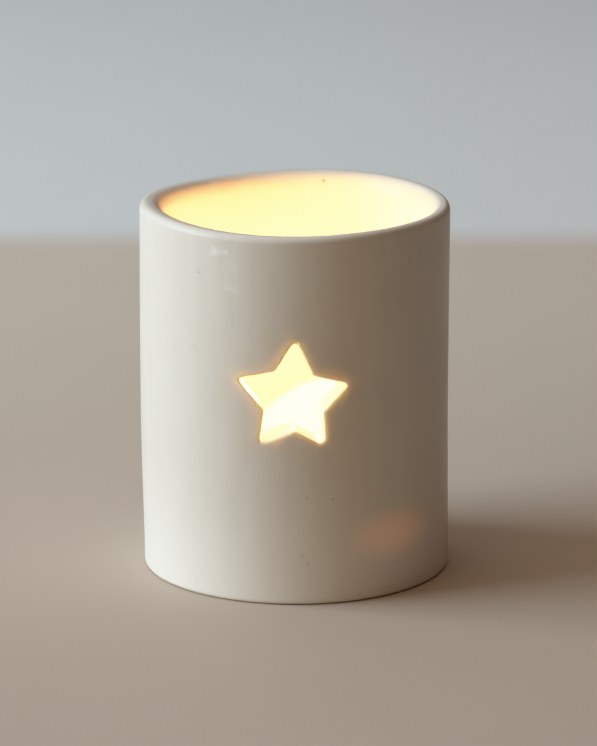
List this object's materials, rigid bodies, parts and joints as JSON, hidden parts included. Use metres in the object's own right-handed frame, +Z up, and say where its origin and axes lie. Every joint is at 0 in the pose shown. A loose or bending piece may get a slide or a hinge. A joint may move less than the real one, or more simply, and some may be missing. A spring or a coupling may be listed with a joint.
{
  "type": "tealight holder",
  "caption": "Straight-sided glazed ceramic cup with a star cut through its front wall, holding a loose lit tealight in a foil cup.",
  "frame": {"origin": "on the holder's axis, in the plane it stands on", "axes": "+Z up along the holder's axis, out of its mouth; -Y out of the front, through the star; +X to the right as seen from the front"},
  "size_m": [0.075, 0.075, 0.09],
  "materials": {
    "glaze": "satin-gloss off-white glaze, faintly translucent over a lit candle",
    "foil": "bright pressed foil",
    "wax": "white paraffin wax, soft sheen",
    "tinned_steel": "thin tinned sheet",
    "wick": "waxed cotton, charred at the top"
  },
  "bodies": {
    "holder": {"holder": "glaze"},
    "tealight": {"tealight_cup": "foil", "wax": "wax", "wick_sustainer": "tinned_steel", "wick": "wick"}
  },
  "joints": [
    {"name": "tealight_lift", "type": "slide", "parent": "holder", "child": "tealight", "axis": [0, 0, 1], "range_m": [0, 0.105]}
  ]
}
